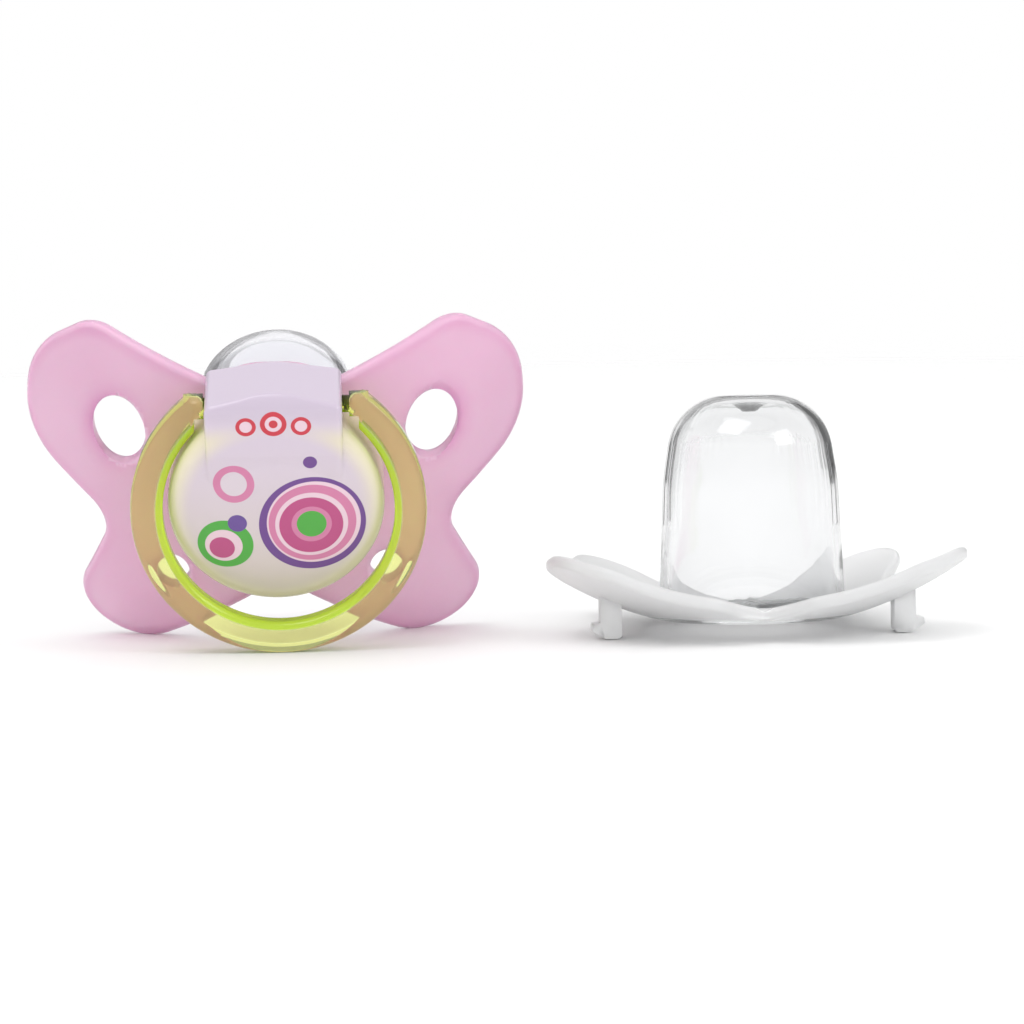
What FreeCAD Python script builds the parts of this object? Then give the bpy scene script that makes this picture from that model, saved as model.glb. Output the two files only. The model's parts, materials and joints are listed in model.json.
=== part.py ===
import FreeCAD, Part
import math
import os
import Sketcher

Vector = FreeCAD.Vector
Rotation = FreeCAD.Rotation
Placement = FreeCAD.Placement

# A butterfly pacifier with a swinging ring handle, standing beside its clip-on nipple cap.
#
# Every piece of the pacifier is drawn in one shared frame: X to the right, Y back towards the
# nipple, Z up, with the origin where the nipple's axis meets the front of the shield.  The cap is
# drawn in the same frame, as it sits when clipped on.  Placements then stand the pieces on a table.

# Driving dimensions in millimetres and degrees.  Each name becomes an alias of the sheet.
DIMENSIONS = {
    # shield: a plate bent across its width and, more gently, over its height
    "shield_thickness": 1.8,
    "bend_across": 42.0,
    "bend_over": 70.0,
    "bend_centre_z": -3.0,
    "rim_round": 0.8,
    "vent_x": 18.1,
    "vent_z": 4.6,
    "vent_half_width": 3.1,
    "vent_half_height": 4.2,
    "small_vent_x": 12.5,
    "small_vent_z": -13.2,
    "small_vent_half_width": 1.9,
    "small_vent_half_height": 2.3,
    "seat_radius": 10.2,
    "nipple_hole_radius": 6.6,
    # front cover: a round button with a square tab that carries the ring
    "button_radius": 12.4,
    "button_centre_z": -0.4,
    "button_front": 6.3,
    "button_crown": 0.9,
    "button_crown_round": 24.0,
    "button_round": 2.0,
    "button_depth": 3.6,
    "cover_wall": 1.3,
    "rib_radius": 9.2,
    "rib_width": 1.2,
    "tab_half_width": 7.75,
    "tab_top": 14.1,
    "tab_top_drop": 1.0,
    "tab_arch": 0.5,
    "tab_arch_round": 14.0,
    "tab_corner": 0.9,
    "tab_front": 7.05,
    "tab_round": 3.0,
    "tab_side_round": 0.7,
    "pivot_front": 2.4,
    "pivot_z": 11.2,
    "bore_radius": 1.05,
    "bore_depth": 3.2,
    # ring handle
    "ring_outer_radius": 16.9,
    "ring_inner_radius": 13.2,
    "ring_thickness": 3.0,
    "ring_corner": 0.9,
    "ring_drop": 12.2,
    "ring_slot_half_width": 9.3,
    "ring_slot_below": 4.0,
    "ring_slot_above": 8.0,
    "ring_end_round": 0.5,
    "ring_play": 0.3,
    "knuckle_radius": 1.48,
    "knuckle_start": 8.25,
    "knuckle_length": 2.2,
    "pin_radius": 1.0,
    "pin_reach": 2.9,
    # nipple and the plug that holds it
    "nipple_wall": 1.2,
    "collar_radius": 9.0,
    "collar_thickness": 1.2,
    "neck_radius": 6.1,
    "plug_radius": 10.0,
    "plug_thickness": 1.5,
    "plug_stem_radius": 4.6,
    "plug_bore_radius": 3.5,
    "plug_stem_length": 5.0,
    # clip-on cap
    "cap_lift": 3.2,
    "flange_bend_across": 44.0,
    "flange_bend_over": 56.0,
    "flange_bend_centre_z": -3.0,
    "flange_thickness": 1.5,
    "dome_base_radius": 11.1,
    "dome_top": 31.2,
    "dome_wall": 0.8,
    "dome_start": 1.9,
    "dome_side_height": 10.0,
    "dome_side_step": 0.75,
    "dome_side_round": 20.0,
    "dome_shoulder_step": 2.35,
    "dome_shoulder_round": 7.0,
    "gate_radius": 1.3,
    "gate_depth": 1.0,
    "hook_x": 17.3,
    "hook_z": 4.6,
    "hook_width": 2.5,
    "hook_depth": 3.0,
    "hook_tip": 3.1,
    "barb_reach": 1.0,
    "barb_height": 1.9,
    "hook_root": 5.6,
    # how the pieces stand
    "lean": 24.5,
    "cap_gap_x": 55.9,
    "cap_gap_y": 6.8,
}

# Right half of the shield's outline as (x, z, corner radius), from the top notch round to the foot.
SHIELD_HALF = [
    (7.4, 11.8, 0.5),
    (20.8, 17.0, 4.4),
    (28.8, 11.4, 10.5),
    (29.5, 0.9, 9.0),
    (19.5, -7.6, 4.4),
    (25.3, -21.4, 5.6),
    (17.2, -26.5, 7.0),
]
SHIELD_CROWN_Z = 13.9
SHIELD_NOTCH = (-14.0, 4.0)

# Right half of the cap's flange, a smaller butterfly.
FLANGE_HALF = [
    (5.4, 16.0, 2.5),
    (18.2, 15.8, 4.5),
    (24.3, 10.4, 8.5),
    (24.9, 1.0, 7.5),
    (16.5, -6.2, 4.0),
    (21.5, -17.9, 4.8),
    (14.6, -22.6, 6.0),
]
FLANGE_TOP_NOTCH = (12.2, 1.5)
FLANGE_NOTCH = (-12.4, 4.0)

# Sections of the nipple: distance back, height of the middle, half width, half height.
NIPPLE_SECTIONS = [
    (0.0, 0.0, 6.1, 6.1),
    (3.4, 0.0, 6.1, 6.0),
    (6.5, 0.2, 6.2, 5.8),
    (11.0, 0.8, 7.6, 6.2),
    (16.0, 1.2, 9.0, 6.8),
    (20.5, 1.4, 9.2, 6.9),
    (24.5, 1.4, 7.6, 5.9),
    (27.2, 1.3, 4.6, 3.6),
    (28.3, 1.3, 2.2, 1.7),
]

OUTSIDE = 60.0         # half size of the sheet of space that is trimmed away round an outline
PLATE_REACH = 32.0     # half width of a bent plate before it is trimmed
SEAT_REACH = 20.0      # half width of the space cut away where a piece seats on the shield
SEAT_BEHIND = 12.0     # how far back that space runs
PLATE_SWING = 56.0     # degrees that a plate's section is swung through


def make_sheet(doc):
    """Put every driving dimension into one spreadsheet, one row each, with its alias."""
    sheet = doc.addObject("Spreadsheet::Sheet", "Dims")
    for row, (name, value) in enumerate(DIMENSIONS.items(), start=1):
        sheet.set("A%d" % row, name)
        sheet.set("B%d" % row, str(value))
        sheet.setAlias("B%d" % row, name)
    doc.recompute()
    return sheet


def new_body(doc, label):
    body = doc.addObject("PartDesign::Body", label)
    body.Label = label
    return body


def origin_plane(body, role):
    for feature in body.Origin.OriginFeatures:
        if feature.Role == role:
            return feature
    raise ValueError("no plane " + role)


def new_sketch(body, name, role, offset=0.0):
    """Sketch on one of the body's origin planes, moved along its normal."""
    sketch = body.newObject("Sketcher::SketchObject", name)
    sketch.AttachmentSupport = [(origin_plane(body, role), "")]
    sketch.MapMode = "FlatFace"
    sketch.AttachmentOffset = Placement(Vector(0, 0, offset), Rotation())
    return sketch


def rounded_loop(sketch, corners):
    """Closed loop of straight runs joined by tangent arcs; a corner is (x, y, radius)."""
    count = len(corners)
    ends = []
    for index, (x, y, radius) in enumerate(corners):
        here = Vector(x, y, 0)
        back = (Vector(*corners[index - 1][:2], 0) - here).normalize()
        ahead = (Vector(*corners[(index + 1) % count][:2], 0) - here).normalize()
        if radius == 0:
            ends.append((here, here))
            continue
        half = back.getAngle(ahead) / 2
        start = here + back * (radius / math.tan(half))
        stop = here + ahead * (radius / math.tan(half))
        centre = here + (back + ahead).normalize() * (radius / math.sin(half))
        middle = centre + (here - centre).normalize() * radius
        sketch.addGeometry(Part.Arc(start, middle, stop), False)
        ends.append((start, stop))
    for index in range(count):
        leave = ends[index][1]
        arrive = ends[(index + 1) % count][0]
        corner = Vector(*corners[index][:2], 0)
        if (arrive - leave).dot(Vector(*corners[(index + 1) % count][:2], 0) - corner) < -1e-9:
            raise ValueError("corner radii overlap after %s" % (corners[index],))
        if (arrive - leave).Length > 1e-6:
            sketch.addGeometry(Part.LineSegment(leave, arrive), False)


def mirrored(half):
    """The same corners on the left, in the order that carries the loop on."""
    return [(-x, z, radius) for x, z, radius in reversed(half)]


def arc_through(start, middle, stop):
    return Part.Arc(Vector(*start, 0), Vector(*middle, 0), Vector(*stop, 0))


def circle(sketch, x, y, radius_alias, value):
    """Circle whose radius follows a cell of the sheet."""
    index = sketch.addGeometry(Part.Circle(Vector(x, y, 0), Vector(0, 0, 1), value(radius_alias)), False)
    sketch.addConstraint(Sketcher.Constraint("Block", index))
    number = sketch.addConstraint(Sketcher.Constraint("Radius", index, value(radius_alias)))
    sketch.setExpression("Constraints[%d]" % number, "Dims." + radius_alias)


def ellipse(sketch, x, y, half_width, half_height):
    if half_width >= half_height:
        major = Vector(x + half_width, y, 0)
        minor = Vector(x, y + half_height, 0)
    else:
        major = Vector(x, y + half_height, 0)
        minor = Vector(x - half_width, y, 0)
    sketch.addGeometry(Part.Ellipse(major, minor, Vector(x, y, 0)), False)


def rectangle(sketch, x0, y0, x1, y1):
    points = [(x0, y0), (x1, y0), (x1, y1), (x0, y1)]
    for index in range(4):
        start = Vector(*points[index], 0)
        stop = Vector(*points[(index + 1) % 4], 0)
        sketch.addGeometry(Part.LineSegment(start, stop), False)


def revolve(body, name, sketch, axis="V_Axis", angle=360.0, both_ways=False):
    feature = body.newObject("PartDesign::Revolution", name)
    feature.Profile = sketch
    feature.ReferenceAxis = (sketch, [axis])
    feature.Angle = angle
    feature.Midplane = both_ways
    body.Document.recompute()
    return feature


def groove(body, name, sketch, axis="V_Axis", angle=360.0, both_ways=False):
    """Turn a sketch about an axis and cut it away, and make sure that it removed something."""
    before = body.Shape.Volume
    feature = body.newObject("PartDesign::Groove", name)
    feature.Profile = sketch
    feature.ReferenceAxis = (sketch, [axis])
    feature.Angle = angle
    feature.Midplane = both_ways
    body.Document.recompute()
    if body.Shape.Volume > before - 1e-6:
        raise RuntimeError(name + " cuts nothing")
    return feature


def pad(body, name, sketch, length, reverse=False, both_ways=False):
    """Pad a sketch; length is an expression of the sheet."""
    feature = body.newObject("PartDesign::Pad", name)
    feature.Profile = sketch
    feature.setExpression("Length", length)
    feature.Reversed = reverse
    feature.Midplane = both_ways
    body.Document.recompute()
    return feature


def cut_through(body, name, sketch):
    """Pocket a sketch right through, both ways, and make sure that it removed something."""
    before = body.Shape.Volume
    feature = body.newObject("PartDesign::Pocket", name)
    feature.Profile = sketch
    feature.Length = 4 * OUTSIDE
    feature.Midplane = True
    body.Document.recompute()
    if body.Shape.Volume > before - 1e-6:
        raise RuntimeError(name + " cuts nothing")
    return feature


def cut_depth(body, name, sketch, length, reverse=False):
    before = body.Shape.Volume
    feature = body.newObject("PartDesign::Pocket", name)
    feature.Profile = sketch
    feature.setExpression("Length", length)
    feature.Reversed = reverse
    body.Document.recompute()
    if body.Shape.Volume > before - 1e-6:
        raise RuntimeError(name + " cuts nothing")
    return feature


def round_edges(body, name, base, chosen, radius):
    """Fillet the edges of a feature that the test function picks."""
    names = ["Edge%d" % (index + 1) for index, edge in enumerate(base.Shape.Edges) if chosen(edge)]
    feature = body.newObject("PartDesign::Fillet", name)
    feature.Base = (base, names)
    feature.setExpression("Radius", radius)
    body.Document.recompute()
    return feature


def trim_to_outline(body, name, loop):
    """Cut away everything outside a closed loop drawn in the XZ plane."""
    sketch = new_sketch(body, name + "_outline", "XZ_Plane")
    rectangle(sketch, -OUTSIDE, -OUTSIDE, OUTSIDE, OUTSIDE)
    loop(sketch)
    return cut_through(body, name, sketch)


def shield_loop(sketch):
    """The butterfly: two mirrored halves, an arched crown on top and a notch at the foot."""
    rounded_loop(sketch, crown_corners() + SHIELD_HALF + [(0.0,) + SHIELD_NOTCH] + mirrored(SHIELD_HALF))


def crown_corners():
    """The arched crown as two gentle corners between the top notches."""
    reach = 0.42 * SHIELD_HALF[0][0]
    return [(-reach, SHIELD_CROWN_Z, 9.0), (reach, SHIELD_CROWN_Z, 9.0)]


def flange_loop(sketch):
    rounded_loop(sketch, [(0.0,) + FLANGE_TOP_NOTCH] + FLANGE_HALF + [(0.0,) + FLANGE_NOTCH]
                 + mirrored(FLANGE_HALF))


def segment(sketch, start, stop, construction=False):
    sketch.addGeometry(Part.LineSegment(Vector(*start, 0), Vector(*stop, 0)), construction)


def shallow_arc(radius, centre_y, reach):
    """Left end, middle and right end of an arc that bulges to the front, in plan."""
    spread = math.asin(reach / radius)
    return [(radius * math.sin(a), centre_y - radius * math.cos(a)) for a in (-spread, 0.0, spread)]


def swing_axis(sketch, axis_y):
    """Crosswise construction line to swing a plan section about."""
    segment(sketch, (-5, axis_y), (5, axis_y), True)


def bent_plate(body, across, over, centre_z, thick, lift):
    """Slab between two arcs in plan, swung about a crosswise axis behind it; lift sets it back."""
    sketch = new_sketch(body, "plate_section", "XY_Plane", centre_z)
    front = shallow_arc(across, lift + across, PLATE_REACH)
    back = shallow_arc(across - thick, lift + across, PLATE_REACH * (across - thick) / across)
    sketch.addGeometry(arc_through(*front), False)
    segment(sketch, front[2], back[2])
    sketch.addGeometry(arc_through(*back), False)
    segment(sketch, back[0], front[0])
    swing_axis(sketch, lift + over)
    return revolve(body, "plate", sketch, "Axis0", PLATE_SWING, True)


def runs_along_rim(edge):
    """True for the rim's edges on a plate's two faces, which are the only ones that are not straight."""
    return not edge.Degenerated and edge.Curve.TypeId != "Part::GeomLine"


def make_shield(doc, value):
    body = new_body(doc, "shield")
    bent_plate(body, value("bend_across"), value("bend_over"), value("bend_centre_z"),
               value("shield_thickness"), 0.0)
    trimmed = trim_to_outline(body, "butterfly", shield_loop)
    rim = round_edges(body, "rim_fillet", trimmed, runs_along_rim, "Dims.rim_round")
    vents = new_sketch(body, "vent_outlines", "XZ_Plane")
    for side in (-1, 1):
        ellipse(vents, side * value("vent_x"), value("vent_z"),
                value("vent_half_width"), value("vent_half_height"))
        ellipse(vents, side * value("small_vent_x"), value("small_vent_z"),
                value("small_vent_half_width"), value("small_vent_half_height"))
    cut_through(body, "vents", vents)
    seat = new_sketch(body, "seat_outline", "XZ_Plane")
    circle(seat, 0, 0, "seat_radius", value)
    pad(body, "nipple_seat", seat, "Dims.shield_thickness", reverse=True)
    hole = new_sketch(body, "nipple_hole_outline", "XZ_Plane")
    circle(hole, 0, 0, "nipple_hole_radius", value)
    cut_through(body, "nipple_hole", hole)
    return body


def trim_at_shield(body, value):
    """Cut away what would stand inside the shield, so that a piece seats on its front face."""
    sketch = new_sketch(body, "seat_section", "XY_Plane", value("bend_centre_z"))
    front = shallow_arc(value("bend_across"), value("bend_across"), SEAT_REACH)
    back_left = (-SEAT_REACH, SEAT_BEHIND)
    back_right = (SEAT_REACH, SEAT_BEHIND)
    sketch.addGeometry(arc_through(*front), False)
    segment(sketch, front[2], back_right)
    segment(sketch, back_right, back_left)
    segment(sketch, back_left, front[0])
    swing_axis(sketch, value("bend_over"))
    groove(body, "seat", sketch, "Axis0", PLATE_SWING, True)


def make_front_cover(doc, value):
    """Round button with a crowned face, a tab at the top, a hollow back and two pin bores."""
    body = new_body(doc, "front_cover")
    radius = value("button_radius")
    front = value("button_front")
    crown = front + value("button_crown")
    depth = value("button_depth")
    turned = new_sketch(body, "button_section", "XY_Plane", value("button_centre_z"))
    crown_round = value("button_crown_round")
    rounded_loop(turned, [(0, -crown, 0), (0.45 * radius, -crown + 0.04, crown_round),
                          (radius, -front + 0.35, value("button_round")), (radius, depth, 0), (0, depth, 0)])
    revolve(body, "button", turned)
    add_tab(body, value, depth)
    section = new_sketch(body, "hollow_section", "XY_Plane", value("button_centre_z"))
    inside = radius - value("cover_wall")
    rounded_loop(section, [(0, -front + value("cover_wall"), 0), (inside, -front + value("cover_wall"), 1.0),
                           (inside, 2 * depth, 0), (0, 2 * depth, 0)])
    groove(body, "hollow", section)
    add_rib(body, value)
    trim_at_shield(body, value)
    bores = new_sketch(body, "bore_outline", "YZ_Plane", value("tab_half_width"))
    circle(bores, -value("pivot_front"), value("pivot_z"), "bore_radius", value)
    cut_depth(body, "right_bore", bores, "Dims.bore_depth")
    other = new_sketch(body, "left_bore_outline", "YZ_Plane", -value("tab_half_width"))
    circle(other, -value("pivot_front"), value("pivot_z"), "bore_radius", value)
    cut_depth(body, "left_bore", other, "Dims.bore_depth", reverse=True)
    return body


def add_rib(body, value):
    """Ring inside the button that holds the nipple plug down on its collar."""
    start = -value("button_front") + 0.8 * value("cover_wall")
    stop = -value("collar_thickness") - value("plug_thickness")
    outer = value("rib_radius")
    section = new_sketch(body, "rib_section", "XY_Plane")
    rectangle(section, outer - value("rib_width"), start, outer, stop)
    revolve(body, "plug_rib", section)


def add_tab(body, value, depth):
    """Tab as a pad of its side profile, whose top is then arched and rounded off at the corners."""
    front = value("tab_front")
    top = value("tab_top")
    half = value("tab_half_width")
    profile = new_sketch(body, "tab_profile", "YZ_Plane")
    over = top + 0.6
    rounded_loop(profile, [(-front + 0.6, 0.0, 0), (-front, 0.5 * top, 4.0),
                           (-front, over, value("tab_round")), (depth, over, 0), (depth, 0.0, 0)])
    pad(body, "tab", profile, "2 * Dims.tab_half_width", both_ways=True)
    around = new_sketch(body, "tab_top_outline", "XZ_Plane")
    low = top - 3.0
    wide = half + 5.0
    high = top + 6.0
    shoulder = top - value("tab_top_drop")
    corner = value("tab_corner")
    rounded_loop(around, [(wide, low, 0), (wide, high, 0), (-wide, high, 0), (-wide, low, 0),
                          (-half, low, 0), (-half, shoulder, corner),
                          (0, top + value("tab_arch"), value("tab_arch_round")),
                          (half, shoulder, corner), (half, low, 0)])
    topped = cut_through(body, "tab_top", around)
    round_edges(body, "tab_side_fillet", topped, lambda edge: is_tab_side(edge, value),
                "Dims.tab_side_round")


def is_tab_side(edge, value):
    """True for the tab's long front edges on its two sides."""
    box = edge.BoundBox
    on_side = abs(abs(box.Center.x) - value("tab_half_width")) < 0.01 and box.XLength < 0.01
    return on_side and box.YMax < -value("tab_front") + 0.8 and box.ZMin > 2.0


def make_ring_handle(doc, value):
    """Open ring with rounded section; its arms end in knuckles whose pins point inwards."""
    body = new_body(doc, "ring_handle")
    inner = value("ring_inner_radius")
    outer = value("ring_outer_radius")
    half = value("ring_thickness") / 2
    corner = value("ring_corner")
    section = new_sketch(body, "ring_section", "XY_Plane", -value("ring_drop"))
    rounded_loop(section, [(inner, -half, corner), (outer, -half, corner),
                           (outer, half, corner), (inner, half, corner)])
    revolve(body, "ring", section)
    slot = new_sketch(body, "slot_outline", "XZ_Plane")
    width = value("ring_slot_half_width")
    rectangle(slot, -width, -value("ring_slot_below"), width, value("ring_slot_above"))
    cut = cut_through(body, "slot", slot)
    round_edges(body, "slot_fillet", cut, lambda edge: is_ring_end(edge, width), "Dims.ring_end_round")
    start = value("knuckle_start")
    for side, name in ((1, "right"), (-1, "left")):
        knuckle = new_sketch(body, name + "_knuckle_outline", "YZ_Plane", side * start)
        circle(knuckle, 0, 0, "knuckle_radius", value)
        pad(body, name + "_knuckle", knuckle, "Dims.knuckle_length", reverse=side < 0)
        pin = new_sketch(body, name + "_pin_outline", "YZ_Plane", side * (start + 0.5))
        circle(pin, 0, 0, "pin_radius", value)
        pad(body, name + "_pin", pin, "Dims.pin_reach + 0.5", reverse=side > 0)
    return body


def is_ring_end(edge, width):
    """True for the edges round the two flat ends that the slot leaves on the ring."""
    box = edge.BoundBox
    return box.XLength < 0.01 and abs(abs(box.Center.x) - width) < 0.01


def make_nipple_plug(doc, value):
    """Disc that presses the nipple's collar to the shield, with a hollow stem inside the neck."""
    body = new_body(doc, "nipple_plug")
    back = -value("collar_thickness")
    front = back - value("plug_thickness")
    stem_end = back + value("plug_stem_length")
    stem = value("plug_stem_radius")
    bore = value("plug_bore_radius")
    section = new_sketch(body, "plug_section", "XY_Plane")
    rounded_loop(section, [(bore, front, 0), (value("plug_radius"), front, 0.5),
                           (value("plug_radius"), back, 0), (stem, back, 0),
                           (stem, stem_end, 0.5), (bore, stem_end, 0)])
    revolve(body, "plug", section)
    return body


def loft(body, kind, name, sections):
    """Loft through upright ellipses that stand one behind another."""
    sketches = []
    for number, (back, height, half_width, half_height) in enumerate(sections, start=1):
        sketch = new_sketch(body, "%s_%d" % (name, number), "XZ_Plane", -back)
        ellipse(sketch, 0, height, half_width, half_height)
        sketches.append(sketch)
    feature = body.newObject("PartDesign::" + kind, name)
    feature.Profile = sketches[0]
    feature.Sections = sketches[1:]
    feature.Ruled = False
    body.Document.recompute()
    return feature


def make_nipple(doc, value):
    """Hollow silicone teat: collar, round neck, and a wide, flat-sided bulb."""
    body = new_body(doc, "nipple")
    collar = new_sketch(body, "collar_outline", "XZ_Plane")
    circle(collar, 0, 0, "collar_radius", value)
    pad(body, "collar", collar, "Dims.collar_thickness")
    loft(body, "AdditiveLoft", "bulb", NIPPLE_SECTIONS)
    loft(body, "SubtractiveLoft", "teat_hollow", inside_sections(value))
    return body


def inside_sections(value):
    """Sections of the teat's inside: the outside ones, thinner by the wall, opened at the collar."""
    wall = value("nipple_wall")
    inside = [(back, height, width - wall, tall - wall)
              for back, height, width, tall in NIPPLE_SECTIONS]
    inside[0] = (-value("collar_thickness") - 0.2,) + inside[0][1:]
    back, height, width, tall = inside[-1]
    inside[-1] = (back - wall, height, width + 0.4 * wall, tall + 0.4 * wall)
    return inside


def dome_corners(value, inset):
    """Right half of the dome's profile as (radius, distance back, corner radius)."""
    top = value("dome_top") - inset
    base = value("dome_base_radius") - inset
    shoulder = (base - value("dome_shoulder_step"), top, value("dome_shoulder_round") - inset)
    side_height = value("dome_top") - value("dome_side_height")
    side = (base - value("dome_side_step"), side_height, value("dome_side_round"))
    return [shoulder, side], top, base


def make_nipple_cap(doc, value):
    """Clear cap in one moulding: bowl-shaped butterfly flange, thimble dome and two hooks."""
    body = new_body(doc, "nipple_cap")
    lift = value("cap_lift")
    bent_plate(body, value("flange_bend_across"), value("flange_bend_over"), value("flange_bend_centre_z"),
               value("flange_thickness"), lift)
    trimmed = trim_to_outline(body, "flange_trim", flange_loop)
    round_edges(body, "flange_fillet", trimmed, runs_along_rim, "0.42 * Dims.flange_thickness")
    outer, top, base = dome_corners(value, 0.0)
    dome = new_sketch(body, "dome_section", "XY_Plane")
    start = lift + value("dome_start")
    rounded_loop(dome, [(0, start, 0), (0, top, 0)] + outer + [(base, start, 0)])
    revolve(body, "dome", dome)
    inner_corners, inner_top, inner_base = dome_corners(value, value("dome_wall"))
    hollow = new_sketch(body, "dome_hollow_section", "XY_Plane")
    rounded_loop(hollow, [(0, -2, 0), (0, inner_top, 0)] + inner_corners + [(inner_base, -2, 0)])
    groove(body, "dome_hollow", hollow)
    gate = new_sketch(body, "gate_section", "XY_Plane")
    wide = value("gate_radius")
    nub_end = inner_top - value("gate_depth")
    rounded_loop(gate, [(0, nub_end, 0), (0.6 * wide, nub_end, 0),
                        (wide + 0.6, inner_top + 0.3, 0), (0, inner_top + 0.3, 0)])
    revolve(body, "gate_nub", gate)
    for side, name in ((1, "right"), (-1, "left")):
        add_hook(body, name, side, value)
    return body


def add_hook(body, name, side, value):
    """Leg that drops through a vent and a barb that catches on the shield's front."""
    x = value("hook_x")
    half = value("hook_width") / 2
    tip = value("hook_tip")
    barb = value("barb_height")
    reach = value("barb_reach")
    sketch = new_sketch(body, name + "_hook_outline", "XY_Plane", value("hook_z"))
    root = value("cap_lift") + value("hook_root")
    rounded_loop(sketch, [
        (side * (x - half), root - 0.6, 0), (side * (x - half), tip, 0.5),
        (side * (x + half - 0.5), tip, 0.4), (side * (x + half + reach), tip + 0.5 * barb, 0.3),
        (side * (x + half + reach), tip + barb - 0.2, 0.2), (side * (x + half), tip + barb, 0),
        (side * (x + half), root + 0.4, 0)])
    pad(body, name + "_hook", sketch, "Dims.hook_depth", both_ways=True)


def lowest(shape):
    return shape.optimalBoundingBox(False, False).ZMin


def turned_about_x(degrees, move=Vector(0, 0, 0)):
    return Placement(move, Rotation(Vector(1, 0, 0), degrees))


def ring_hang(value, pivot_height):
    """Angle from upright at which the ring's foot just reaches the table below its pivot."""
    corner = value("ring_corner")
    along = value("ring_drop") + value("ring_outer_radius") - corner
    aside = value("ring_thickness") / 2 - corner
    reach = math.hypot(along, aside)
    return math.degrees(math.atan2(aside, along) + math.acos((pivot_height - corner) / reach))


def cap_tilt(value):
    """How far the cap tips back, standing on its hooks in front and the rim of its mouth behind."""
    mouth = value("dome_base_radius") - value("dome_wall")
    rim = value("cap_lift") + (mouth + value("flange_bend_centre_z")) ** 2 / (2 * value("flange_bend_over"))
    toe = value("hook_z") - value("hook_depth") / 2
    return math.degrees(math.atan2(rim - value("hook_tip"), toe + mouth))


def stand_on_table(bodies, value):
    """Lean the pacifier on its two lobes and its ring, and set the cap on its flange and hooks."""
    lean = value("lean")
    fixed = [bodies[name] for name in ("shield", "front_cover", "nipple", "nipple_plug")]
    for body in fixed:
        body.Placement = turned_about_x(lean)
    drop = -lowest(bodies["shield"].Shape)
    for body in fixed:
        body.Placement = turned_about_x(lean, Vector(0, 0, drop))
    pivot = turned_about_x(lean, Vector(0, 0, drop)).multVec(
        Vector(0, -value("pivot_front"), value("pivot_z")))
    ring = bodies["ring_handle"]
    ring.Placement = turned_about_x(ring_hang(value, pivot.z), pivot + Vector(value("ring_play"), 0, 0))
    cap = bodies["nipple_cap"]
    tilt = 90.0 - cap_tilt(value)
    cap.Placement = turned_about_x(tilt)
    cap.Placement = turned_about_x(tilt, Vector(value("cap_gap_x"), value("cap_gap_y"),
                                                -lowest(cap.Shape)))
    return pivot


def centre_on_origin(doc, bodies):
    """Move everything so that the whole stands over the origin."""
    whole = Part.makeCompound([body.Shape for body in bodies.values()])
    box = whole.optimalBoundingBox(False, False)
    shift = Vector(-(box.XMin + box.XMax) / 2, -(box.YMin + box.YMax) / 2, 0)
    for body in bodies.values():
        body.Placement = Placement(body.Placement.Base + shift, body.Placement.Rotation)
    doc.recompute()
    return shift


def check_document(doc, bodies):
    for item in doc.Objects:
        if "Invalid" in item.State or "Error" in item.State:
            raise RuntimeError("%s failed: %s" % (item.Name, item.State))
    for name, body in bodies.items():
        if body.Shape.isNull() or not body.Shape.isValid():
            raise RuntimeError(name + " has no valid shape")


def main():
    os.makedirs("parts", exist_ok=True)
    doc = FreeCAD.newDocument("pacifier")
    sheet = make_sheet(doc)
    value = sheet.get
    bodies = {
        "shield": make_shield(doc, value),
        "front_cover": make_front_cover(doc, value),
        "nipple": make_nipple(doc, value),
        "nipple_plug": make_nipple_plug(doc, value),
        "ring_handle": make_ring_handle(doc, value),
        "nipple_cap": make_nipple_cap(doc, value),
    }
    doc.recompute()
    pivot = stand_on_table(bodies, value)
    shift = centre_on_origin(doc, bodies)
    check_document(doc, bodies)
    for name, body in bodies.items():
        body.Shape.exportStep("parts/%s.step" % name)
        box = body.Shape.optimalBoundingBox(False, False)
        print("%-12s %8.1f mm3  X %.2f %.2f  Y %.2f %.2f  Z %.2f %.2f" % (
            name, body.Shape.Volume, box.XMin, box.XMax, box.YMin, box.YMax, box.ZMin, box.ZMax))
    print("ring pivot at", [round(c, 3) for c in pivot + shift])


main()
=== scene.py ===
import json
import math

import bmesh
import bpy
from mathutils import Matrix, Vector


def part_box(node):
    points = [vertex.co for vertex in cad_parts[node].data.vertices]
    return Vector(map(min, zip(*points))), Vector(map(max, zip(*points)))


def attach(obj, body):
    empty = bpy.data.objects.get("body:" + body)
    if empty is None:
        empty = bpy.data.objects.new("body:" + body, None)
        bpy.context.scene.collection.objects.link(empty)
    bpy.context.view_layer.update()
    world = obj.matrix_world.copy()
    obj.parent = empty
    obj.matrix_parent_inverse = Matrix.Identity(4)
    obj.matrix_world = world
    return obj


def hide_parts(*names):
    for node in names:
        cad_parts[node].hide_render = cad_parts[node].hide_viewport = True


# A butterfly pacifier with a clear ring handle, beside its clear clip-on cap, on a white table.
# Everything is in metres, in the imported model's own frame.

MM = 0.001

# The pacifier leans forward on the table.  Its own frame has X to the right, Y back along the
# teat and Z up the shield, and its origin lies where the teat's axis meets the shield's front.
LEAN = math.radians(24.5)
BACK = Vector((0.0, math.cos(LEAN), math.sin(LEAN)))
UP = Vector((0.0, -math.sin(LEAN), math.cos(LEAN)))
PIVOT_BACK = -2.4 * MM
PIVOT_UP = 11.2 * MM

# The ring hangs from its pivot, a little away from upright.
RING_HANG = math.radians(9.7)
RING_DROP = 12.2 * MM
RING_UP = Vector((0.0, -math.sin(RING_HANG), math.cos(RING_HANG)))

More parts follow.
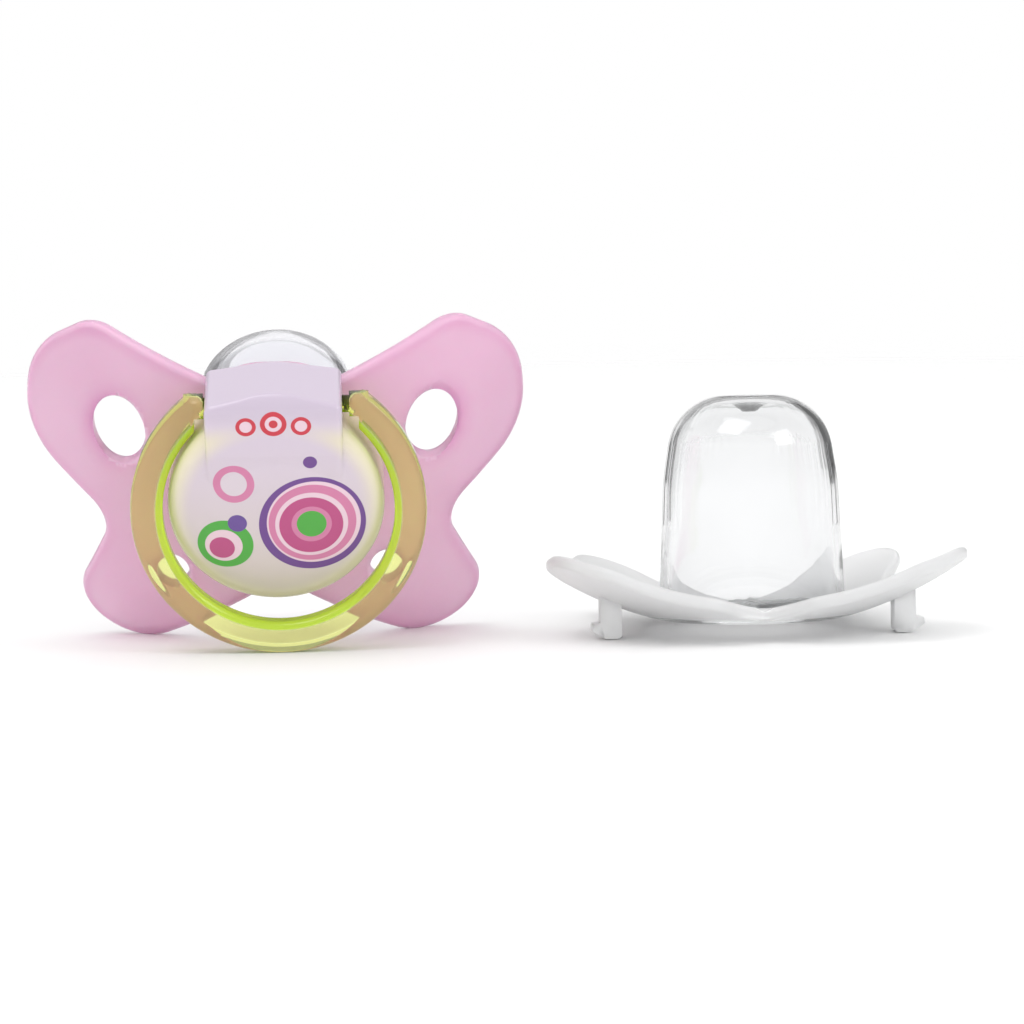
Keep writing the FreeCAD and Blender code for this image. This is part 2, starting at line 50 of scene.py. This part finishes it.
# The cap stands tipped back a little; its dome is drawn by height above the cap's own origin.
CAP_TILT = math.radians(2.46)
DOME_AXIS = Vector((0.0, math.sin(CAP_TILT), math.cos(CAP_TILT)))
DOME_BASE = 11.1 * MM
DOME_FOOT = 5.1 * MM
DOME_TOP = 31.2 * MM
DOME_WALL = 0.8 * MM
DOME_SIDE_DOWN = 10.0 * MM       # the side bends this far below the top,
DOME_SIDE_STEP = 0.75 * MM       # where it has drawn in by this much
DOME_SIDE_ROUND = 20.0 * MM
DOME_SHOULDER_STEP = 2.35 * MM   # the side's line and the top's meet this far inside the base
DOME_SHOULDER_ROUND = 7.0 * MM
DOME_CUT = 16.0 * MM             # above this the dome is turned anew, clear of the flange's tips
CAP_AXIS_BACK = -1.3 * MM        # back from the middle of the table to the middle of the dome

# The gate mark hangs inside the dome's top.
GATE_RADIUS = 1.9 * MM
GATE_TIP_RADIUS = 0.4 * GATE_RADIUS
GATE_DEPTH = 1.0 * MM
GATE_EDGE_ROUND = 0.1 * MM
GATE_TIP_ROUND = 0.2 * MM

# Sections of the teat in millimetres: distance back, height of the middle, half width, half height.
TEAT_SECTIONS = [
    (0.0, 0.0, 6.1, 6.1),
    (3.4, 0.0, 6.1, 6.0),
    (6.5, 0.2, 6.2, 5.8),
    (11.0, 0.8, 7.6, 6.2),
    (16.0, 1.2, 9.0, 6.8),
    (20.5, 1.4, 9.2, 6.9),
    (24.5, 1.4, 7.6, 5.9),
    (26.8, 1.35, 5.2, 4.1),
    (27.9, 1.3, 2.9, 2.3),
    (28.2, 1.3, 0.9, 0.7),
]
TEAT_INNER_TIP = [
    (25.9, 1.35, 4.3, 3.2),
    (26.8, 1.3, 2.2, 1.7),
    (27.0, 1.3, 0.7, 0.5),
]
TEAT_WALL = 1.2
TEAT_NECK = 6.1
TEAT_SIDES = 96
TEAT_STEPS = 6
COLLAR_RADIUS = 9.0
COLLAR_THICK = 1.2

# Soft steps of tint, painted light and gloss in millimetres, each from where it starts to where it ends.
BUTTON_PAINTED_LIGHT = (-12.0, 12.0)     # up the cover, painted light: warm grey low, lavender grey at top
TAB_PAINTED_SHADE = (10.5, 13.5)         # up the tab, painted shade darkening its top
RIM_PAINTED_REFLECTION = (9.6, 12.4)           # out from the button's middle, painted reflection of the ring
RIM_REFLECTION_TOP = (11.5, 8.0)       # down from the tab, where the painted reflection fades
PRINT_DEPTH = (-4.6, -5.2)       # forward to the cover's front
RING_GLOW_BAND = (14.2, 13.9)         # in towards the ring's inner edge, where a glow is painted
FLANGE_FROST = (11.4, 13.0)      # out from the dome
GATE_FROST = (2.3, 1.9)          # in towards the gate mark
BUTTON_MIDDLE = (0.0, -0.4)
INK_EDGE = 0.04

SEAM = 0.002 * MM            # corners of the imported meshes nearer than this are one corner
SHARP = math.radians(32)     # edges that turn more than this stay crisp
ARC_DEGREES = 3.5            # turn between neighbouring points of an arc


# ---------------------------------------------------------------- node helpers

def new_material(name):
    material = bpy.data.materials.new(name)
    material.use_nodes = True
    nodes = material.node_tree.nodes
    return material, material.node_tree, nodes["Principled BSDF"]


def add(tree, kind, **settings):
    node = tree.nodes.new(kind)
    for name, value in settings.items():
        setattr(node, name, value)
    return node


def maths(tree, operation, first, second=0.0, third=0.0):
    """Math node whose inputs are sockets or plain numbers."""
    node = add(tree, "ShaderNodeMath", operation=operation)
    for socket, value in zip(node.inputs, (first, second, third)):
        if isinstance(value, (int, float)):
            socket.default_value = value
        else:
            tree.links.new(value, socket)
    return node.outputs[0]


def smooth(tree, value, low, high, out_low=0.0, out_high=1.0):
    """Smooth step of a value from one range to another."""
    node = add(tree, "ShaderNodeMapRange", interpolation_type="SMOOTHSTEP")
    tree.links.new(value, node.inputs["Value"])
    node.inputs["From Min"].default_value = low
    node.inputs["From Max"].default_value = high
    node.inputs["To Min"].default_value = out_low
    node.inputs["To Max"].default_value = out_high
    return node.outputs[0]


def mix_colour(tree, factor, first, second):
    """Mix, by a socket, of two colours that are each a socket or (r, g, b)."""
    node = add(tree, "ShaderNodeMix", data_type="RGBA")
    tree.links.new(factor, node.inputs["Factor"])
    for name, value in (("A", first), ("B", second)):
        if isinstance(value, tuple):
            node.inputs[name].default_value = (*value, 1.0)
        else:
            tree.links.new(value, node.inputs[name])
    return node.outputs["Result"]


def srgb(red, green, blue):
    """Linear colour of an 8-bit display colour, none of whose parts is nearly black."""
    return tuple(((part / 255 + 0.055) / 1.055) ** 2.4 for part in (red, green, blue))


def noise(tree, position, scale, detail):
    node = add(tree, "ShaderNodeTexNoise")
    node.inputs["Scale"].default_value = scale
    node.inputs["Detail"].default_value = detail
    tree.links.new(position, node.inputs["Vector"])
    return node.outputs["Fac"]


def bump(tree, shader, height, distance, strength):
    node = add(tree, "ShaderNodeBump")
    node.inputs["Distance"].default_value = distance
    node.inputs["Strength"].default_value = strength
    tree.links.new(height, node.inputs["Height"])
    tree.links.new(node.outputs["Normal"], shader.inputs["Normal"])


def along(tree, position, origin, direction):
    """Distance in millimetres from an origin along a direction."""
    moved = add(tree, "ShaderNodeVectorMath", operation="SUBTRACT")
    tree.links.new(position, moved.inputs[0])
    moved.inputs[1].default_value = origin
    dot = add(tree, "ShaderNodeVectorMath", operation="DOT_PRODUCT")
    tree.links.new(moved.outputs[0], dot.inputs[0])
    dot.inputs[1].default_value = Vector(direction) / MM
    return dot.outputs["Value"]


def distance_from(tree, first, second, centre):
    """Distance of a place, given by two of its coordinates, from a centre."""
    across = maths(tree, "SUBTRACT", first, centre[0])
    over = maths(tree, "SUBTRACT", second, centre[1])
    across_square = maths(tree, "MULTIPLY", across, across)
    over_square = maths(tree, "MULTIPLY", over, over)
    return maths(tree, "SQRT", maths(tree, "ADD", across_square, over_square))


def object_position(tree):
    return add(tree, "ShaderNodeTexCoord").outputs["Object"]


def absorb(tree, colour, density):
    """Tint light by how far it goes through the piece."""
    volume = add(tree, "ShaderNodeVolumeAbsorption")
    volume.inputs["Color"].default_value = (*colour, 1.0)
    volume.inputs["Density"].default_value = density
    tree.links.new(volume.outputs[0], tree.nodes["Material Output"].inputs["Volume"])


# ---------------------------------------------------------------- materials

def shield_material():
    """Milky pink translucent plastic, satin on its face, with painted shade in a deeper pink along its
    edges.
    """
    material, tree, shader = new_material("pink_plastic")
    position = object_position(tree)
    cloud = smooth(tree, noise(tree, position, 60.0, 3.0), 0.35, 0.7)
    face = mix_colour(tree, cloud, srgb(245, 205, 229), srgb(241, 196, 223))
    # Painted shade: a deeper pink where the plate nears its edges, found by occlusion inside the piece.
    inside = add(tree, "ShaderNodeAmbientOcclusion", samples=12, inside=True)
    inside.inputs["Distance"].default_value = 2.4 * MM
    painted_edge_shade = smooth(tree, inside.outputs["AO"], 0.42, 0.2)
    tree.links.new(mix_colour(tree, painted_edge_shade, face, srgb(226, 140, 196)), shader.inputs["Base Color"])
    shader.inputs["Roughness"].default_value = 0.3
    shader.inputs["IOR"].default_value = 1.49
    shader.inputs["Transmission Weight"].default_value = 0.4
    shader.inputs["Subsurface Weight"].default_value = 0.4
    shader.inputs["Subsurface Radius"].default_value = (1.0, 0.55, 0.8)
    shader.inputs["Subsurface Scale"].default_value = 1.2 * MM
    bump(tree, shader, noise(tree, position, 900.0, 2.0), 0.01 * MM, 0.4)
    return material


def cover_material(origin):
    """Pearly white plastic with a simple printed pattern of rings and dots, under painted light: a
    warm-to-lavender tint up the cover, painted shade on the tab's top and a painted yellow reflection of
    the ring round the button's rim.
    """
    material, tree, shader = new_material("white_plastic_printed")
    position = object_position(tree)
    x = along(tree, position, origin, (1, 0, 0))
    z = along(tree, position, origin, UP)
    # Painted light: the cover goes from a warm grey low down to a lavender grey at the top.
    colour = mix_colour(tree, smooth(tree, z, *BUTTON_PAINTED_LIGHT), srgb(209, 197, 192), srgb(208, 195, 210))
    # Painted shade: the tab's top is darkened.
    colour = mix_colour(tree, smooth(tree, z, *TAB_PAINTED_SHADE), colour, srgb(194, 181, 198))
    # Painted reflection: a pale yellow from the lime ring round the button's rim, fading out below the
    # tab.
    from_middle = distance_from(tree, x, z, BUTTON_MIDDLE)
    below_tab = smooth(tree, z, *RIM_REFLECTION_TOP)
    rim_reflection = maths(tree, "MULTIPLY", smooth(tree, from_middle, *RIM_PAINTED_REFLECTION), below_tab)
    colour = mix_colour(tree, rim_reflection, colour, srgb(226, 218, 186))
    on_front = smooth(tree, along(tree, position, origin, BACK), *PRINT_DEPTH)
    for print_mask, ink in printed_circles(tree, x, z):
        colour = mix_colour(tree, maths(tree, "MULTIPLY", print_mask, on_front), colour, ink)
    tree.links.new(colour, shader.inputs["Base Color"])
    shader.inputs["Roughness"].default_value = 0.22
    shader.inputs["Subsurface Weight"].default_value = 0.15
    shader.inputs["Subsurface Radius"].default_value = (1.0, 0.9, 0.9)
    shader.inputs["Subsurface Scale"].default_value = 1.0 * MM
    shader.inputs["Coat Weight"].default_value = 0.3
    shader.inputs["Coat Roughness"].default_value = 0.08
    bump(tree, shader, noise(tree, position, 700.0, 2.0), 0.008 * MM, 0.3)
    return material


PURPLE = srgb(104, 62, 136)
VIOLET = srgb(100, 70, 145)
MAGENTA = srgb(182, 72, 126)
ROSE = srgb(204, 122, 160)
PALE = srgb(226, 198, 210)
GREEN = srgb(72, 165, 58)
RED = srgb(196, 44, 62)
BARE = srgb(211, 199, 207)

# Printed circles as (x, z, radius, ink) in millimetres on the cover, each over the ones before it.
PRINTS = [
    (4.1, -1.8, 6.1, PURPLE),
    (4.25, -1.6, 5.35, PALE),
    (4.1, -1.65, 5.0, ROSE),
    (4.0, -1.8, 4.15, PALE),
    (3.95, -1.9, 3.65, MAGENTA),
    (4.0, -1.75, 2.3, ROSE),
    (4.0, -1.7, 1.7, GREEN),
    (-4.7, 3.6, 2.35, ROSE),
    (-4.7, 3.6, 1.5, BARE),
    (4.0, 6.2, 0.8, PURPLE),
    (-5.9, -4.3, 3.2, GREEN),
    (-6.1, -4.5, 2.15, PALE),
    (-6.3, -4.8, 1.45, MAGENTA),
    (-4.45, -1.45, 1.1, VIOLET),
    (-3.1, 10.9, 1.15, RED),
    (-3.1, 10.9, 0.7, PALE),
    (0.0, 11.2, 1.5, RED),
    (0.0, 11.2, 0.95, PALE),
    (0.0, 11.2, 0.5, RED),
    (3.1, 10.9, 1.15, RED),
    (3.1, 10.9, 0.7, PALE),
]


def printed_circles(tree, x, z):
    """Yield a soft-edged mask and an ink for each printed circle."""
    for centre_x, centre_z, radius, ink in PRINTS:
        distance = distance_from(tree, x, z, (centre_x, centre_z))
        yield smooth(tree, distance, radius + INK_EDGE, radius - INK_EDGE), ink


def ring_material(centre):
    """Clear yellow plastic, with a painted glow of bright lime round its inner edge where light gathers.
    """
    material, tree, shader = new_material("lime_clear_plastic")
    position = object_position(tree)
    from_centre = distance_from(tree, along(tree, position, centre, (1, 0, 0)),
                                along(tree, position, centre, RING_UP), (0.0, 0.0))
    # Painted light: a bright lime glow round the ring's inner edge, where the ring is also less clear.
    band = smooth(tree, from_centre, *RING_GLOW_BAND)
    colour = mix_colour(tree, band, (0.95, 0.95, 0.66), srgb(188, 222, 52))
    tree.links.new(colour, shader.inputs["Base Color"])
    clear = smooth(tree, from_centre, *RING_GLOW_BAND, 0.96, 0.35)
    tree.links.new(clear, shader.inputs["Transmission Weight"])
    shader.inputs["Roughness"].default_value = 0.06
    shader.inputs["IOR"].default_value = 1.49
    bump(tree, shader, noise(tree, position, 120.0, 1.0), 0.01 * MM, 0.15)
    absorb(tree, (0.84, 0.86, 0.2), 320.0)
    return material


def silicone_material():
    """Clear silicone, here and there a little less polished."""
    material, tree, shader = new_material("clear_silicone")
    shader.inputs["Base Color"].default_value = (0.95, 0.95, 0.98, 1.0)
    rough = smooth(tree, noise(tree, object_position(tree), 150.0, 2.0), 0.3, 0.7, 0.03, 0.08)
    tree.links.new(rough, shader.inputs["Roughness"])
    shader.inputs["IOR"].default_value = 1.41
    shader.inputs["Transmission Weight"].default_value = 0.97
    return material


def plug_material():
    """Plain white plastic, with the faint clouds of a moulding."""
    material, tree, shader = new_material("white_plastic")
    cloud = noise(tree, object_position(tree), 80.0, 2.0)
    colour = mix_colour(tree, cloud, (0.78, 0.77, 0.78), (0.82, 0.82, 0.82))
    tree.links.new(colour, shader.inputs["Base Color"])
    shader.inputs["Roughness"].default_value = 0.35
    return material


def cap_material(axis_point):
    """Clear polished dome; the flange round it and its gate mark are frosted."""
    material, tree, shader = new_material("clear_plastic_cap")
    position = object_position(tree)
    x = along(tree, position, axis_point, (1, 0, 0))
    y = along(tree, position, axis_point, (0, 1, 0))
    from_axis = distance_from(tree, x, y, (0.0, 0.0))
    flange = smooth(tree, from_axis, *FLANGE_FROST)
    gate = smooth(tree, from_axis, *GATE_FROST, 0.0, 0.6)
    frosted = maths(tree, "ADD", flange, gate)
    tree.links.new(maths(tree, "MULTIPLY_ADD", frosted, 0.3, 0.03), shader.inputs["Roughness"])
    tree.links.new(maths(tree, "MULTIPLY_ADD", frosted, -0.6, 1.0), shader.inputs["Transmission Weight"])
    shader.inputs["Base Color"].default_value = (0.985, 0.988, 0.99, 1.0)
    shader.inputs["IOR"].default_value = 1.49
    absorb(tree, (0.9, 0.902, 0.906), 500.0)
    return material


def table_material(radius):
    """Pale table that fades out into the white surroundings."""
    material, tree, shader = new_material("pale_table")
    position = object_position(tree)
    x = along(tree, position, (0, 0, 0), (1, 0, 0))
    y = along(tree, position, (0, 0, 0), (0, 1, 0))
    distance = distance_from(tree, x, y, (0.0, 0.0))
    shader.inputs["Base Color"].default_value = (0.93, 0.93, 0.93, 1.0)
    shader.inputs["Roughness"].default_value = 0.6
    fade_start = 0.3 * radius / MM
    fade_end = 0.95 * radius / MM
    tree.links.new(smooth(tree, distance, fade_start, fade_end, 1.0, 0.0), shader.inputs["Alpha"])
    return material


# ---------------------------------------------------------------- stage, light and camera

def new_object(name, form, material):
    """Object from a mesh in the making, which is used up."""
    mesh = bpy.data.meshes.new(name)
    form.to_mesh(mesh)
    form.free()
    mesh.materials.append(material)
    made = bpy.data.objects.new(name, mesh)
    bpy.context.scene.collection.objects.link(made)
    return made


def make_table():
    radius = 0.9
    form = bmesh.new()
    bmesh.ops.create_circle(form, cap_ends=True, radius=radius, segments=96)
    new_object("table", form, table_material(radius))


def make_card(name, centre, width, height, shade, target):
    """Grey card that faces a target and shows only in and through the clear plastic."""
    material, _, shader = new_material(name)
    shader.inputs["Base Color"].default_value = (shade, shade, shade, 1.0)
    shader.inputs["Roughness"].default_value = 1.0
    form = bmesh.new()
    bmesh.ops.create_grid(form, x_segments=1, y_segments=1, size=0.5)
    card = new_object(name, form, material)
    card.scale = (width, height, 1.0)
    card.location = centre
    card.rotation_euler = (Vector(target) - Vector(centre)).to_track_quat("Z", "Y").to_euler()
    card.visible_camera = False
    card.visible_diffuse = False
    card.visible_shadow = False


def make_light(name, location, target, size, power):
    light = bpy.data.lights.new(name, "AREA")
    light.shape = "RECTANGLE"
    light.size, light.size_y = size
    light.energy = power
    lamp = bpy.data.objects.new(name, light)
    bpy.context.scene.collection.objects.link(lamp)
    lamp.location = location
    lamp.rotation_euler = (Vector(target) - Vector(location)).to_track_quat("-Z", "Y").to_euler()


def make_world():
    """Plain white surroundings."""
    world = bpy.data.worlds.new("studio")
    bpy.context.scene.world = world
    world.use_nodes = True
    background = world.node_tree.nodes["Background"]
    background.inputs["Color"].default_value = (1.0, 1.0, 1.0, 1.0)
    background.inputs["Strength"].default_value = 1.0


def make_camera():
    """Long lens, a little above the table and a hair to the left, turned slightly about its axis."""
    elevation = math.radians(5.3)
    azimuth = math.radians(2.8)
    roll = math.radians(-1.0)
    distance = 0.4
    target = Vector((1.9, 0.0, 14.6)) * MM
    forward = Vector((math.sin(azimuth) * math.cos(elevation), math.cos(azimuth) * math.cos(elevation),
                      -math.sin(elevation)))
    level = Vector((math.cos(azimuth), -math.sin(azimuth), 0.0))
    upward = level.cross(forward)
    right = level * math.cos(roll) + upward * math.sin(roll)
    above = upward * math.cos(roll) - level * math.sin(roll)
    data = bpy.data.cameras.new("camera")
    data.lens = 118.6
    data.sensor_width = 36.0
    data.clip_start = 0.01
    camera = bpy.data.objects.new("camera", data)
    bpy.context.scene.collection.objects.link(camera)
    turn = Matrix((right, above, -forward)).transposed().to_4x4()
    camera.matrix_world = Matrix.Translation(target - forward * distance) @ turn
    bpy.context.scene.camera = camera


# ---------------------------------------------------------------- the object

def closed_copy(node):
    """A CAD node's surface as a new mesh in the making, with the seams between its faces closed."""
    form = bmesh.new()
    form.from_mesh(frame["nodes"][node].data)
    bmesh.ops.remove_doubles(form, verts=form.verts, dist=SEAM)
    bmesh.ops.dissolve_degenerate(form, edges=form.edges, dist=SEAM)
    return form


def put(form, node, body, material):
    """Turn a mesh in the making into the piece that stands for a CAD node."""
    bmesh.ops.recalc_face_normals(form, faces=form.faces)
    for face in form.faces:
        face.smooth = True
    piece = new_object(node + "_skin", form, material)
    piece.data.set_sharp_from_angle(angle=SHARP)
    even = piece.modifiers.new("even", "WEIGHTED_NORMAL")
    even.keep_sharp = True
    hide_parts(node)
    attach(piece, body)


def rounded_profile(corners):
    """Points along straight runs joined by tangent arcs; a corner is (x, y, radius)."""
    points = [Vector(corners[0][:2])]
    for before, (x, y, radius), after in zip(corners, corners[1:], corners[2:]):
        here = Vector((x, y))
        back = (Vector(before[:2]) - here).normalized()
        ahead = (Vector(after[:2]) - here).normalized()
        half = back.angle(ahead) / 2
        centre = here + (back + ahead).normalized() * (radius / math.sin(half))
        reach = radius / math.tan(half)
        first = here + back * reach - centre
        last = here + ahead * reach - centre
        steps = max(2, round(math.degrees(first.angle(last)) / ARC_DEGREES))
        points += [centre + first.slerp(last, step / steps) * radius for step in range(steps + 1)]
    return points + [Vector(corners[-1][:2])]


def spin_up(form, ring, foot, axis, profile):
    """Carry an open ring of a round form up a profile of (radius, height) to its pole."""
    outward = []
    for corner in ring:
        flat = corner.co - foot
        outward.append((flat - axis * flat.dot(axis)).normalized())
    for radius, height in profile:
        middle = foot + axis * height
        if radius == 0:
            pole = form.verts.new(middle)
            for index, corner in enumerate(ring):
                form.faces.new((corner, ring[(index + 1) % len(ring)], pole))
            return
        above = [form.verts.new(middle + way * radius) for way in outward]
        for index in range(len(ring)):
            following = (index + 1) % len(ring)
            form.faces.new((ring[index], ring[following], above[following], above[index]))
        ring = above


def dome_profile(inset, end):
    """Half of the dome's outline as (radius, height), from its mouth to the middle of its top."""
    base = DOME_BASE - inset
    side = (base - DOME_SIDE_STEP, DOME_TOP - DOME_SIDE_DOWN, DOME_SIDE_ROUND)
    shoulder = (base - DOME_SHOULDER_STEP, DOME_TOP - inset, DOME_SHOULDER_ROUND - inset)
    return rounded_profile([(base, DOME_FOOT, 0.0), side, shoulder] + end)


def cap_form():
    """The cap's flange and hooks as packed, with its dome turned anew above a level cut."""
    form = closed_copy("nipple_cap")
    highest = max(corner.co.dot(DOME_AXIS) for corner in form.verts)
    level = DOME_AXIS * (highest - DOME_TOP + DOME_CUT)
    bmesh.ops.bisect_plane(form, geom=form.verts[:] + form.edges[:] + form.faces[:], dist=0.1 * SEAM,
                           plane_co=level, plane_no=DOME_AXIS, clear_outer=True)
    cut_corners = [corner for corner in form.verts
                   if corner.is_boundary and abs((corner.co - level).dot(DOME_AXIS)) < SEAM]
    across = Vector((1.0, 0.0, 0.0))
    over = DOME_AXIS.cross(across)
    foot = DOME_AXIS * (highest - DOME_TOP)
    for way in (across, over):
        places = [corner.co.dot(way) for corner in cut_corners]
        foot += way * (min(places) + max(places)) / 2

    def turn(corner):
        return math.atan2((corner.co - foot).dot(over), (corner.co - foot).dot(across))

    outside, inside = [], []
    for corner in sorted(cut_corners, key=turn):
        flat = corner.co - foot
        distance = math.hypot(flat.dot(across), flat.dot(over))
        (outside if distance > DOME_BASE - DOME_WALL else inside).append(corner)
    ceiling = DOME_TOP - DOME_WALL
    gate = [(GATE_RADIUS, ceiling, GATE_EDGE_ROUND),
            (GATE_TIP_RADIUS, ceiling - GATE_DEPTH, GATE_TIP_ROUND),
            (0.0, ceiling - GATE_DEPTH, 0.0)]
    for ring, profile in ((outside, dome_profile(0.0, [(0.0, DOME_TOP, 0.0)])),
                          (inside, dome_profile(DOME_WALL, gate))):
        spin_up(form, ring, foot, DOME_AXIS, [place for place in profile if place.y > DOME_CUT])
    return form


def between(sections, steps):
    """Rows on a smooth curve through the given rows, with some steps from each to the next."""
    rows = [sections[0]] + sections + [sections[-1]]
    result = []
    for group in zip(rows, rows[1:], rows[2:], rows[3:]):
        for step in range(steps):
            part = step / steps
            result.append(tuple(
                0.5 * (2 * b + (c - a) * part + (2 * a - 5 * b + 4 * c - d) * part ** 2
                       + (3 * b - a - 3 * c + d) * part ** 3) for a, b, c, d in zip(*group)))
    return result + [sections[-1]]


def teat_form(origin):
    """Hollow teat with its collar: one skin from the tip outside round the collar to the tip inside."""
    outside = between(TEAT_SECTIONS, TEAT_STEPS)
    mouth = (-COLLAR_THICK, 0.0, TEAT_NECK - TEAT_WALL, TEAT_NECK - TEAT_WALL)
    before_tip = TEAT_SECTIONS[1:-len(TEAT_INNER_TIP)]
    bore = [(back, height, wide - TEAT_WALL, tall - TEAT_WALL) for back, height, wide, tall in before_tip]
    inside = between([mouth] + bore + TEAT_INNER_TIP, TEAT_STEPS)
    collar = [(0.0, 0.0, COLLAR_RADIUS, COLLAR_RADIUS), (-COLLAR_THICK, 0.0, COLLAR_RADIUS, COLLAR_RADIUS)]
    form = bmesh.new()
    rings = []
    for back, height, wide, tall in outside[::-1] + collar + inside:
        middle = origin + (BACK * back + UP * height) * MM
        ring = []
        for number in range(TEAT_SIDES):
            turn = 2 * math.pi * number / TEAT_SIDES
            reach = Vector((wide * math.cos(turn), 0.0, 0.0)) + UP * (tall * math.sin(turn))
            ring.append(form.verts.new(middle + reach * MM))
        rings.append(ring)
    for first, second in zip(rings, rings[1:]):
        for number in range(TEAT_SIDES):
            following = (number + 1) % TEAT_SIDES
            form.faces.new((first[number], first[following], second[following], second[number]))
    form.faces.new(rings[0])
    form.faces.new(rings[-1])
    return form


def hinge_place():
    """World place of the ring's hinge, as the frame has it."""
    hinge = next(joint for joint in frame["joints"] if joint["name"] == "ring_hinge")
    return Vector(hinge["pos_m"])


def pacifier_origin():
    """World place of the pacifier's own origin, from where its ring is hinged."""
    return hinge_place() - BACK * PIVOT_BACK - UP * PIVOT_UP


def ring_centre():
    """Middle of the ring at rest, below its hinge and halfway across its box."""
    low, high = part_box("ring_handle")
    centre = hinge_place() - RING_UP * RING_DROP
    centre.x = (low.x + high.x) / 2
    return centre


def cap_axis_point():
    """A point on the upright through the middle of the dome."""
    low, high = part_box("nipple_cap")
    return Vector(((low.x + high.x) / 2, CAP_AXIS_BACK, 0.0))


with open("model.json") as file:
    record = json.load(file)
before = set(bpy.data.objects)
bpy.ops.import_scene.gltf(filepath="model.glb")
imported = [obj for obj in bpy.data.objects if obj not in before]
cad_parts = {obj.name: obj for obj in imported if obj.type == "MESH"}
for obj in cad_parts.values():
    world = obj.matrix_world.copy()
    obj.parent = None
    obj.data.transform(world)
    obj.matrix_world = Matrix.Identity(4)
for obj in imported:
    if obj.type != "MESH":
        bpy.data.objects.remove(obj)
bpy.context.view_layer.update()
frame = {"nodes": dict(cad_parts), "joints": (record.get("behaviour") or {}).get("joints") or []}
bpy.context.scene.view_settings.view_transform = "Standard"

make_camera()
make_world()
make_table()
make_light("key", (-0.3, -0.3, 0.8), (0, 0, 0.02), (0.5, 0.5), 2.0)
make_light("fill", (0.6, -0.5, 0.5), (0, 0, 0.02), (0.4, 0.4), 1.3)
make_card("left_card", (-0.36, 0.5, 0.12), 0.4, 0.5, 0.2, (0.0, 0.0, 0.05))
make_card("right_card", (0.42, 0.5, 0.12), 0.4, 0.5, 0.12, (0.0, 0.0, 0.05))
make_card("low_left_card", (-0.068, 0.11, 0.028), 0.056, 0.056, 0.3, (-0.068, 0.0, 0.028))
make_card("high_card", (-0.03, 0.5, 0.21), 0.5, 0.16, 0.42, (0.0, 0.0, 0.05))

origin = pacifier_origin()
put(closed_copy("shield"), "shield", "pacifier", shield_material())
put(closed_copy("front_cover"), "front_cover", "pacifier", cover_material(origin))
put(closed_copy("ring_handle"), "ring_handle", "ring", ring_material(ring_centre()))
put(teat_form(origin), "nipple", "pacifier", silicone_material())
put(closed_copy("nipple_plug"), "nipple_plug", "pacifier", plug_material())
put(cap_form(), "nipple_cap", "cap", cap_material(cap_axis_point()))
